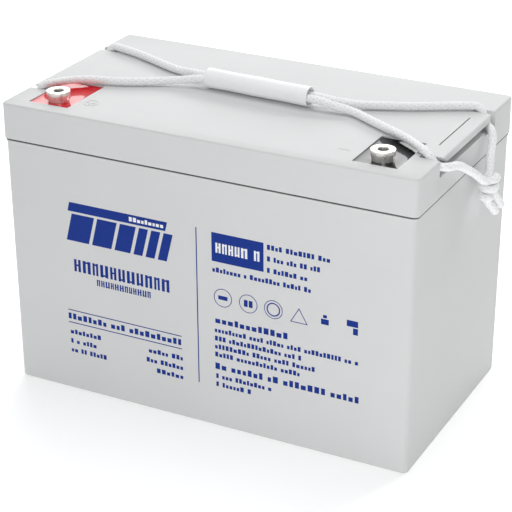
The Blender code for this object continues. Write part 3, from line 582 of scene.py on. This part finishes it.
def makeKnot():
    # a knot pulled tight: a helix of widest turns at its middle, wound round the strands and tilted
    t = np.linspace(0, 1, 121)
    angle = 2 * np.pi * (knotWish["turns"] * t + knotWish["turned"])
    swell = knotWish["radius"] * (0.7 + 0.3 * np.sin(np.pi * t) ** 0.6)
    x = swell * np.cos(angle)
    y = swell * np.sin(angle) * knotWish["wide"] + knotWish["tilt"] * (1 - 2 * t)
    z = knotWish["rise"] * (1 - 2 * t) + knotWish["wobble"] * np.sin(angle + 0.6)
    line = np.stack([x, y, z], axis=-1) + np.array(rope["knot"])
    line = smoothLine(line[::6], rope["step"])
    knot = ropeSurface("ropeKnot", line, ropeFinish, thick=knotWish["thick"], seed=9)
    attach(knot, "rope_end")
    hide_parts("rope_knot")
    return knot


ends = list(makeRope())
knotPiece = makeKnot()
for number, (piece, line) in enumerate(ends):
    declareCord(piece, line, [knotPiece] if number == 0 else ())
print("rope made")


# Grip tube

grip = {
    "length": 0.080, "wall": 0.0007, "rim": 0.00035, "ripple": 0.00012, "rippleWave": 160,
    "steps": 72,
}


def makeGrip():
    # a turned tube with rounded rims; r = outer - ripple + ripple cos(rippleWave x)
    half, outer = grip["length"] / 2, rope["gripRadius"]
    inner = outer - grip["wall"]
    corners = [
        (inner, 0), (inner, half), (outer, half), (outer, -half), (inner, -half), (inner, 0),
    ]
    profile = roundedPath(corners, grip["rim"], 4)
    span = np.linspace(half - 0.001, -half + 0.001, 40)
    outside = [i for i in range(len(profile)) if abs(profile[i, 0] - outer) < 1e-6]
    ripple = outer - grip["ripple"] + grip["ripple"] * np.cos(span * grip["rippleWave"])
    body = np.stack([ripple, span], axis=-1)
    profile = np.concatenate([profile[:outside[0] + 1], body, profile[outside[0] + 1:]])
    surface = turnedSurface(profile, grip["steps"])
    points = surface[..., [2, 1, 0]] * (1, 1, -1)
    turn = Matrix.Rotation(rope["gripYaw"], 3, "Z")
    points = points.reshape(-1, 3) @ np.array(turn).T + (*rope["gripPlace"], gripLie)
    piece = newPiece("gripTube", points, gridFaces(len(profile), grip["steps"]), gripFinish)
    cleanMesh(piece.data)
    piece.data.set_sharp_from_angle(angle=math.radians(50))
    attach(piece, "handle")
    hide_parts("grip")


gripFinish = mattFinish(
    "gripFinish", (0.975, 0.977, 0.98), (0.95, 0.952, 0.955), 300, 0.36, 0.00001
)
makeGrip()
print("grip made")


# Case and lid

caseFinish = mouldedPlastic("casePlastic", plastic)
finerCopy("container", "caseShell", caseFinish, 0.00025)
finerCopy("lid", "lidShell", caseFinish, 0.0003)
print("case and lid made")


# Resin pads

pads = {
    "places": {"positive": -0.122, "negative": 0.1185},
    "terminalY": -0.060,
    "size": (0.0304, 0.0474),
    "middleY": -0.0494,
    "top": 0.2101,
    "foot": 0.1993,
    "hole": 0.0072,
    "creep": 0.0005,        # how far the resin climbs its walls
    "reach": 0.0014,
    "postClimb": 0.6,       # the same at the terminal, as a part of creep
    "steps": 128,
    "rings": 48,
}


def makePad(kind, finish):
    # the top is a grid whose radius steps from the terminal's hole to the pad's outline, and whose
    # height falls off from every wall as an exponential; sides and foot close it
    cx, cy = pads["places"][kind], pads["terminalY"]
    steps = pads["steps"]
    angle = np.linspace(0, 2 * np.pi, steps, endpoint=False)
    way = np.stack([np.cos(angle), np.sin(angle)], axis=-1)
    halfX, halfY = pads["size"][0] / 2, pads["size"][1] / 2
    low = np.array([-halfX, pads["middleY"] - halfY - cy])
    high = np.array([halfX, pads["middleY"] + halfY - cy])
    limit = np.where(way > 0, high, low)
    with np.errstate(divide="ignore"):
        reach = np.min(np.abs(limit / np.where(np.abs(way) < 1e-9, 1e-9, way)), axis=1)
    corners = np.array([(low[0], low[1]), (high[0], low[1]), (high[0], high[1]), (low[0], high[1])])
    for corner in corners:
        turn = angle - math.atan2(corner[1], corner[0])
        near = int(np.argmin(np.abs(np.angle(np.exp(1j * turn)))))
        way[near] = corner / np.linalg.norm(corner)
        reach[near] = np.linalg.norm(corner)
    t = np.linspace(0, 1, pads["rings"])
    t = (t - 0.12 * np.sin(2 * np.pi * t))[:, None]
    radius = pads["hole"] * (1 - t) + reach[None] * t
    flat = radius[..., None] * way[None]
    toWall = np.minimum(np.minimum(flat[..., 0] - low[0], high[0] - flat[..., 0]),
                        np.minimum(flat[..., 1] - low[1], high[1] - flat[..., 1]))
    toPost = radius - pads["hole"]
    climb = np.exp(-np.clip(toWall, 0, 1) / pads["reach"])
    climb = climb + pads["postClimb"] * np.exp(-toPost / pads["reach"])
    height = pads["top"] - pads["creep"] + pads["creep"] * np.clip(climb, 0, 1)
    top = np.concatenate([flat + (cx, cy), height[..., None]], axis=-1)
    foot = np.stack([np.concatenate([edge[:, :2], np.full((steps, 1), pads["foot"])], axis=-1)
                     for edge in (top[-1], top[0])])
    points = np.concatenate([top, foot, top[:1]])
    piece = newPiece(kind + "Pad", points.reshape(-1, 3), gridFaces(len(points), steps), finish)
    cleanMesh(piece.data)
    piece.data.set_sharp_from_angle(angle=math.radians(50))
    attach(piece, "case")
    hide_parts(kind + "_resin")


makePad("positive", glossyResin("redResin", (0.62, 0.004, 0.010), (0.72, 0.008, 0.016)))
makePad("negative", glossyResin("blackResin", (0.004, 0.004, 0.005), (0.008, 0.008, 0.010)))
print("resin pads made")


# Terminals

terminal = {
    "top": 0.217, "topRadius": 0.0082, "radius": 0.0072, "shank": 0.006, "shoulder": 0.1993,
    "foot": 0.1892, "bore": 0.0034, "depth": 0.018, "pitch": 0.00125, "thread": 0.00045,
    "mouth": 0.0006, "mouthDepth": 0.0007, "collar": 0.0024, "taper": 0.985, "edge": 0.0005,
    "steps": 96,
}


def makeTerminal(kind, finish):
    # a turned profile; inside, rings of a sine make the thread
    wish = terminal
    top, bore, shank, wide = wish["top"], wish["bore"], wish["shank"], wish["topRadius"]
    bottom = top - wish["depth"]
    outside = roundedPath([
        (0, bottom), (bore, bottom), (bore, top - wish["mouthDepth"]), (bore + wish["mouth"], top),
        (wide, top), (wide * wish["taper"], top - wish["collar"]), (wish["radius"], pads["top"]),
        (wish["radius"], wish["shoulder"]), (shank, wish["shoulder"]), (shank, wish["foot"]),
        (0, wish["foot"]),
    ], wish["edge"], 4)
    z = np.linspace(bottom + 0.001, top - 0.0016, 110)
    cut = bore + wish["thread"] * (0.5 - 0.5 * np.cos(2 * np.pi * z / wish["pitch"]))
    low = int(np.argmax((outside[:, 0] > bore - 1e-7) & (outside[:, 1] > bottom + 0.0003)))
    profile = np.concatenate([outside[:low + 1], np.stack([cut, z], axis=-1), outside[low + 1:]])
    steps = wish["steps"]
    surface = turnedSurface(profile, steps) + (pads["places"][kind], pads["terminalY"], 0)
    faces = gridFaces(len(profile), steps)
    piece = newPiece(kind + "Terminal", surface.reshape(-1, 3), faces, finish)
    cleanMesh(piece.data)
    piece.data.set_sharp_from_angle(angle=math.radians(40))
    place = np.array([v.co[:] for v in piece.data.vertices])
    out = np.hypot(place[:, 0] - pads["places"][kind], place[:, 1] - pads["terminalY"])
    # mask for the painted shade that the plating's finish puts inside the bore
    sunk = np.clip((top - place[:, 2]) / 0.002, 0, 1)
    setValues(piece.data, "bore", sunk * (out < bore + 0.0008))
    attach(piece, "case")
    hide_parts(kind + "_terminal")


metalFinish = platedMetal("platedMetal")
makeTerminal("positive", metalFinish)
makeTerminal("negative", metalFinish)
print("terminals made")


# Seam: a near-black strip painted in for the shadow under the lid's edge, and a bead on the
# container's rim below it

seam = {
    "half": (0.1520, 0.0835), "corner": 0.004,
    "line": {"low": 0.18430, "high": 0.18545, "proud": 0.00075, "sunk": 0.0003},
    "bead": {"low": 0.18300, "high": 0.18420, "proud": 0.00045, "sunk": 0.0003},
}


def roundedLoop(halfX, halfY, corner, steps=8):
    # a rectangle whose corners are quarter circles, and the outward direction at each of its points
    quarter = np.linspace(0, np.pi / 2, steps)
    angle = np.concatenate([quarter + turn * np.pi / 2 for turn in range(4)])
    way = np.stack([np.cos(angle), np.sin(angle)], axis=-1)
    middles = np.array([(1, 1), (-1, 1), (-1, -1), (1, -1)]) * (halfX - corner, halfY - corner)
    return np.repeat(middles, steps, axis=0) + way * corner, way


def makeRim(name, wish, finish):
    # a rounded section of (distance out, height) carried round the rim
    loop, way = roundedLoop(*seam["half"], seam["corner"])
    out, tall = wish["proud"], wish["high"] - wish["low"]
    turn = np.linspace(-np.pi / 2, np.pi / 2, 7)
    height = wish["low"] + tall * (0.5 + 0.5 * np.sin(turn))
    section = np.stack([out * np.cos(turn) ** 0.5, height], axis=-1)
    inner = np.array([(-wish["sunk"], wish["high"]), (-wish["sunk"], wish["low"])])
    section = np.concatenate([section, inner, section[:1]])
    flat = loop[None] + way[None] * section[:, None, :1]
    points = np.concatenate([flat, np.repeat(section[:, None, 1:], len(loop), axis=1)], axis=-1)
    piece = newPiece(name, points.reshape(-1, 3), gridFaces(len(section), len(loop)), finish)
    cleanMesh(piece.data, 1e-7)
    piece.data.set_sharp_from_angle(angle=math.radians(50))
    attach(piece, "case")


# painted shadow: a near-black strip where the gap under the lid's edge falls in shade
seamShadow = mattFinish("seamShadow", (0.05, 0.05, 0.052), (0.09, 0.09, 0.092), 700, 0.7, 0.00002)
makeRim("seamShadowLine", seam["line"], seamShadow)
makeRim("rimBead", seam["bead"], caseFinish)
print("seam made")


# Print and marks: plain bars, blocks, rings and outlines, in millimetres on their face

printing = {
    "blue": (0.0012, 0.028, 0.245), "white": (0.86, 0.87, 0.88),
    "proud": 0.00004, "sunk": 0.00003, "markProud": 0.00022, "markSunk": 0.0002,
    "faceFoot": 0.0828, "faceLean": 0.00378,
}


def onFront(flat, depth):
    # flat (x, z) points on the container's front, which leans out towards its rim
    flat = flat * 0.001
    y = -(printing["faceFoot"] + printing["faceLean"] * flat[..., 1] + depth)
    return np.stack([flat[..., 0], y, flat[..., 1]], axis=-1)


def onLid(flat, depth):
    # flat (x, y) points on the lid's top
    height = np.full(flat.shape[:-1] + (1,), caseHeight + depth)
    return np.concatenate([flat * 0.001, height], axis=-1)


def bar(low, high, left, right, lean=0.0):
    # one block; lean moves its upper edge along X
    return np.array([[(left, low), (right, low), (right + lean, high), (left + lean, high)]], float)


def blockRow(left, right, middle, tall, seed, wide=0.55, space=0.2, words=0.17):
    # blocks of random width and height in groups, spread to fill the row
    random = np.random.default_rng(seed)
    count = max(2, int((right - left) / (tall * (wide + space + words * 0.5))))
    width = tall * wide * random.uniform(0.75, 1.15, count)
    gap = tall * (space + 0.5 * (random.uniform(size=count) < words))
    start = np.concatenate([[0], np.cumsum(width + gap)[:-1]])
    grow = (right - left) / (start[-1] + width[-1])
    x0 = left + start * grow
    x1 = x0 + width * grow
    z0 = middle - tall * 0.5 * np.ones(count)
    z1 = middle + tall * random.choice([0.2, 0.5], count, p=[0.55, 0.45])
    return np.stack([np.stack([x0, z0], -1), np.stack([x1, z0], -1), np.stack([x1, z1], -1),
                     np.stack([x0, z1], -1)], axis=1)


def strokeRow(left, right, middle, tall, seed):
    # larger blocks, each slit down its middle, with a bridge at a random height
    whole = blockRow(left, right, middle, tall, seed, wide=0.52, space=0.15, words=0.1)
    x0, x1 = whole[:, 0, 0], whole[:, 1, 0]
    z0, z1 = np.full(len(x0), middle - tall / 2), np.full(len(x0), middle + tall / 2)
    thick = (x1 - x0) * 0.38
    rise = z0 + tall * np.random.default_rng(seed + 50).choice([0.08, 0.46, 0.8], len(x0))
    slit = 0.02

    def box(a, b, low, high):
        return np.stack([np.stack([a, low], -1), np.stack([b, low], -1), np.stack([b, high], -1),
                         np.stack([a, high], -1)], axis=1)

    bridge = box(x0 + thick + slit, x1 - thick - slit, rise, rise + tall * 0.14)
    return np.concatenate([box(x0, x0 + thick, z0, z1), box(x1 - thick, x1, z0, z1), bridge])


def outline(x, z, radius, thick, sides, turned=0.0):
    # the outer and inner corners of a ring or a regular polygon
    angle = np.linspace(0, 2 * np.pi, sides, endpoint=False) + turned
    way = np.stack([np.cos(angle), np.sin(angle)], axis=-1)
    inner = radius - thick / math.cos(math.pi / sides)
    return np.stack([way * radius, way * inner]) + (x, z)


def raisedMarks(name, blocks, outlines, onFace, depth, sunk, finish):
    # each block is a thin closed box and each outline a thin closed band
    blocks = np.concatenate(blocks)
    corners = np.concatenate([onFace(blocks, depth), onFace(blocks, -sunk)], axis=1)
    quads = np.array([
        (0, 1, 2, 3), (7, 6, 5, 4), (0, 4, 5, 1), (1, 5, 6, 2), (2, 6, 7, 3), (3, 7, 4, 0),
    ])
    faces = (np.arange(len(blocks))[:, None, None] * 8 + quads).reshape(-1, 4).tolist()
    points = [corners.reshape(-1, 3)]
    count = len(points[0])
    for outer, inner in outlines:
        ring = np.stack([onFace(outer, depth), onFace(inner, depth), onFace(inner, -sunk),
                         onFace(outer, -sunk), onFace(outer, depth)])
        faces += (np.array(gridFaces(5, len(outer))) + count).tolist()
        points.append(ring.reshape(-1, 3))
        count += 5 * len(outer)
    piece = newPiece(name, np.concatenate(points), faces, finish, smooth=False)
    cleanMesh(piece.data, 1e-7)
    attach(piece, "case")


def inkFinish(name, colour):
    darker = tuple(c * 0.94 for c in colour)
    return mattFinish(name, colour, darker, 500, 0.55, 0.00001, 0.0, 0.2)


def makePrint():
    # a bar is (low, high, left, right); a row is (left, right, middle height, height, seed)
    heading = [bar(140.3, 147, -104, -27, 1.6)]
    slants = ((-106, -88), (-85.5, -70), (-67.5, -55), (-52.5, -45.5), (-43, -36), (-33.5, -26.5))
    heading += [bar(118, 138.6, left, right, 5.2) for left, right in slants]
    rules = [bar(z - 0.35, z + 0.35, -108, -16.5) for z in (63.5, 53.7)]
    rules.append(bar(31, 148, -3.9, -3.1))
    rows = [
        strokeRow(-101, -25, 99.5, 9.4, 1), strokeRow(-83, -40, 89.6, 4.8, 2),
        blockRow(-108, -17, 58.7, 4.6, 3, 0.6, 0.24), bar(126, 147, 8, 46.5),
        blockRow(10, 64, 82.6, 4.6, 4, 0.6, 0.24), blockRow(9.5, 116, 47.4, 4.8, 5, 0.62, 0.26),
    ]
    thin = (
        (-107, -82, 46.5), (-107, -86, 39), (-107, -78, 31.8), (-43, -16, 46.5), (-45, -16, 39),
        (-37, -16, 31.8), (49, 94, 144.5), (49, 87, 136.2), (49, 78, 127.9), (8.4, 80.7, 120),
        (9.5, 115, 75), (9.5, 74, 68.6), (9.5, 84, 62.5), (9.5, 73, 56.4), (10, 52, 39.7),
        (10, 36.5, 33.4),
    )
    rows += [blockRow(left, right, z, 3.6, 10 + i) for i, (left, right, z) in enumerate(thin)]
    icons = [
        bar(98.5, 101.5, 12.5, 19.5), bar(97.5, 102.5, 31.8, 34.6), bar(97.5, 102.5, 35.4, 38.2),
        bar(97.6, 101.6, 88.2, 93.8), bar(102.4, 104.6, 89.6, 92.4),
        bar(100.5, 105, 106.5, 114.5), bar(95, 99.7, 111, 114.5),
    ]
    rings = [outline(x, 100, 6.8, 0.5, 48) for x in (16, 35, 53.6)]
    rings += [outline(53.6, 100, 5.0, 0.9, 40), outline(72.3, 98, 7.4, 0.55, 3, math.pi / 2)]
    blue = inkFinish("blueInk", printing["blue"])
    white = inkFinish("whiteInk", printing["white"])
    proud, sunk = printing["proud"], printing["sunk"]
    blocks = heading + rules + rows + icons
    raisedMarks("frontPrint", blocks, rings, onFront, proud, sunk, blue)
    # the pale print stands on the blue one
    pale = [strokeRow(11, 43.5, 136.3, 7.2, 6), blockRow(-55, -28.5, 143.7, 3.2, 7)]
    raisedMarks("palePrint", pale, [], onFront, proud * 2, -proud * 0.5, white)


def makeMarks():
    # polarity: a cross in a ring, and a dash
    cross = [
        bar(-58.7, -57.3, -100.4, -93.6), bar(-57.28, -54.6, -97.7, -96.3),
        bar(-61.4, -58.72, -97.7, -96.3),
    ]
    dash = [bar(-58.8, -57.2, 87.5, 94.5)]
    ring = [outline(-97, -58, 5.6, 0.8, 48)]
    proud, sunk = printing["markProud"], printing["markSunk"]
    raisedMarks("polarityMarks", cross + dash, ring, onLid, proud, sunk, caseFinish)


makePrint()
makeMarks()
print("print and marks made")


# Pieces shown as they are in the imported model

# the start of a piece's name, and its finish: name, two colours, scale, roughness, depth, metal
inside = {
    "inner_cover": ("coverPlastic", (0.46, 0.47, 0.48), (0.42, 0.43, 0.44), 400, 0.5, 0.00002),
    "valve_cap": (
        "valveRubber", (0.028, 0.028, 0.030), (0.045, 0.045, 0.047), 900, 0.75, 0.00003,
    ),
    "positive_seal": (
        "sealRubber", (0.045, 0.045, 0.05), (0.07, 0.07, 0.075), 900, 0.7, 0.00002,
    ),
    "positive_plates": (
        "positivePaste", (0.17, 0.085, 0.05), (0.12, 0.06, 0.04), 700, 0.8, 0.00008,
    ),
    "negative_plates": (
        "negativePaste", (0.29, 0.30, 0.31), (0.22, 0.23, 0.24), 700, 0.7, 0.00008, 0.3,
    ),
    "separator": (
        "separatorSheet", (0.77, 0.76, 0.72), (0.70, 0.69, 0.65), 1500, 0.85, 0.00004,
    ),
    "cell_weld": ("weldLead", (0.36, 0.37, 0.39), (0.28, 0.29, 0.31), 500, 0.42, 0.00005, 0.9),
}
inside = {start: mattFinish(*wish) for start, wish in inside.items()}
inside["negative_seal"] = inside["positive_seal"]
for name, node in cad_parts.items():
    for start, finish in inside.items():
        if name.startswith(start):
            node.data.materials.clear()
            node.data.materials.append(finish)
print("inner pieces finished")


# Floor and light

studio = {
    "half": 6, "drop": 0.0002, "paper": (0.93, 0.93, 0.93), "glow": 0.3,
    "sky": (0.97, 0.985, 1), "level": 0.48, "dimmer": 0.95, "brighter": 0.36,
}


def makeStage():
    half = studio["half"]
    corners = [(-half, -half, 0), (half, -half, 0), (half, half, 0), (-half, half, 0)]
    mesh = bpy.data.meshes.new("floor")
    mesh.from_pydata(corners, [], [(0, 1, 2, 3)])
    floor = bpy.data.objects.new("floor", mesh)
    floor.location.z = -studio["drop"]
    bpy.context.scene.collection.objects.link(floor)
    made, _, shader = newFinish("floorPaper", Roughness=0.9, Specular_IOR_Level=0.1)
    shader.inputs["Base Color"].default_value = (*studio["paper"], 1)
    shader.inputs["Emission Color"].default_value = (1, 1, 1, 1)
    shader.inputs["Emission Strength"].default_value = studio["glow"]
    mesh.materials.append(made)
    world = bpy.data.worlds.new("studio")
    world.use_nodes = True
    sky = world.node_tree.nodes["Background"]
    sky.inputs[0].default_value = (*studio["sky"], 1)
    # dimmer towards +X and brighter towards -Y
    net = Wire(world.node_tree)
    way = net.node("TexCoord", pick=0)
    across = net.node("SeparateXYZ", None, {0: way}, 0).maths("MAXIMUM", 0.0)
    towards = (net.node("SeparateXYZ", None, {0: way}, 1) * -1.0).maths("MAXIMUM", 0.0)
    level = (1.0 - across * studio["dimmer"] + towards * studio["brighter"]) * studio["level"]
    world.node_tree.links.new(level.out, sky.inputs[1])
    bpy.context.scene.world = world


def addPanel(name, place, aim, size, power):
    # a soft box at a place, turned to face its aim
    data = bpy.data.lights.new(name, "AREA")
    data.shape = "RECTANGLE"
    data.size, data.size_y = size
    data.energy = power
    lamp = bpy.data.objects.new(name, data)
    lamp.location = place
    lamp.rotation_euler = (Vector(aim) - Vector(place)).to_track_quat("-Z", "Y").to_euler()
    bpy.context.scene.collection.objects.link(lamp)


makeStage()
addPanel("topPanel", (0.0, 0.35, 1.75), (0, 0, 0.2), (1.1, 1.1), 11.2)
addPanel("keyPanel", (0.75, 1.75, 1.15), (0, 0, 0.15), (0.35, 0.35), 9.6)
addPanel("backPanel", (-1.05, 2.05, 1.3), (0, 0, 0.2), (1.9, 1.3), 21)
addPanel("frontPanel", (0.50, -0.75, 0.38), (0.1, 0, 0.1), (0.4, 0.4), 2.0)
print("floor and light set")
